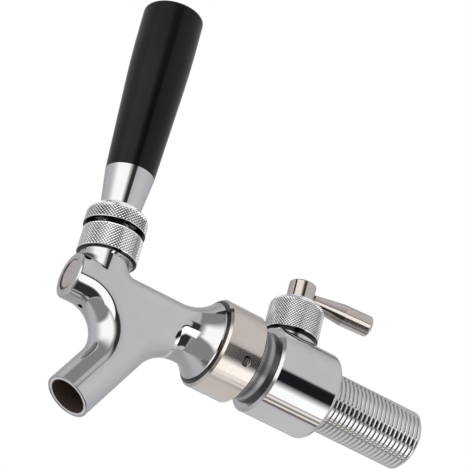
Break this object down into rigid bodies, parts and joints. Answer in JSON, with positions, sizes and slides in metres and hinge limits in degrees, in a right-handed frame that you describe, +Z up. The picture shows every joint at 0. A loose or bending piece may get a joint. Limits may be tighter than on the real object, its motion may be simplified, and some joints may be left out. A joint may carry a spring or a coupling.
{
  "type": "beer faucet",
  "caption": "Chrome beer faucet with an upright handle, a slanting spout and a threaded shank with a flow-control lever.",
  "frame": {"origin": "centre of the shank's shoulder, where the threaded shank leaves the back of the flow-control housing", "axes": "+Y rearwards along the shank's axis, +Z up along the handle, +X to the right for someone who faces the way the shank points; the spout is on -Y"},
  "size_m": [0.0328, 0.1445, 0.1558],
  "materials": {
    "polished_chrome": "mirror polished chrome plate",
    "knurled_chrome": "chrome plate over fine diamond knurling",
    "threaded_chrome": "chrome plate over a machined thread",
    "satin_nickel": "satin nickel, warm grey",
    "stainless_steel": "machined stainless steel",
    "raw_brass": "machined brass",
    "white_nylon": "turned nylon",
    "black_rubber": "moulded rubber",
    "black_grip": "moulded gloss black plastic"
  },
  "bodies": {
    "faucet": {"faucet_body": "polished_chrome", "ball_washer": "white_nylon", "friction_washer": "white_nylon", "compression_bonnet": "knurled_chrome", "coupling_washer": "black_rubber", "nut_snap_ring": "stainless_steel", "flow_housing": "polished_chrome", "threaded_shank": "threaded_chrome", "gland_washer": "white_nylon", "flow_cap": "knurled_chrome"},
    "handle": {"lever": "stainless_steel", "lever_collar": "knurled_chrome", "handle_ferrule": "polished_chrome", "handle_insert": "raw_brass", "handle_grip": "black_grip"},
    "valve": {"valve_shaft": "satin_nickel", "piston_seal": "black_rubber", "seat_washer": "black_rubber", "seat_plate": "stainless_steel", "shaft_nut": "stainless_steel"},
    "nut": {"coupling_nut": "satin_nickel"},
    "flow_control": {"flow_spindle": "satin_nickel", "spindle_seal": "black_rubber", "flow_lever": "satin_nickel"},
    "compensator": {"compensator_cone": "white_nylon"}
  },
  "joints": [
    {"name": "handle_tilt", "type": "hinge", "parent": "faucet", "child": "handle", "pos_m": [0, -0.0924, 0.013], "axis": [1, 0, 0], "range_deg": [0, 25]},
    {"name": "valve_slide", "type": "slide", "parent": "faucet", "child": "valve", "axis": [0, 1, 0], "range_m": [0, 0.0055]},
    {"name": "nut_turn", "type": "hinge", "parent": "faucet", "child": "nut", "pos_m": [0, -0.0403, 0], "axis": [0, 1, 0], "continuous": true},
    {"name": "flow_turn", "type": "hinge", "parent": "faucet", "child": "flow_control", "pos_m": [0, -0.0161, 0.02], "axis": [0, 0, 1], "range_deg": [-50, 50]},
    {"name": "compensator_slide", "type": "slide", "parent": "faucet", "child": "compensator", "axis": [0, 1, 0], "range_m": [-0.00154, 0.00154]}
  ],
  "couplings": [
    {"joint": "valve_slide", "follows": "handle_tilt", "m_per_rad": 0.01259},
    {"joint": "compensator_slide", "follows": "flow_turn", "m_per_rad": 0.001755}
  ]
}
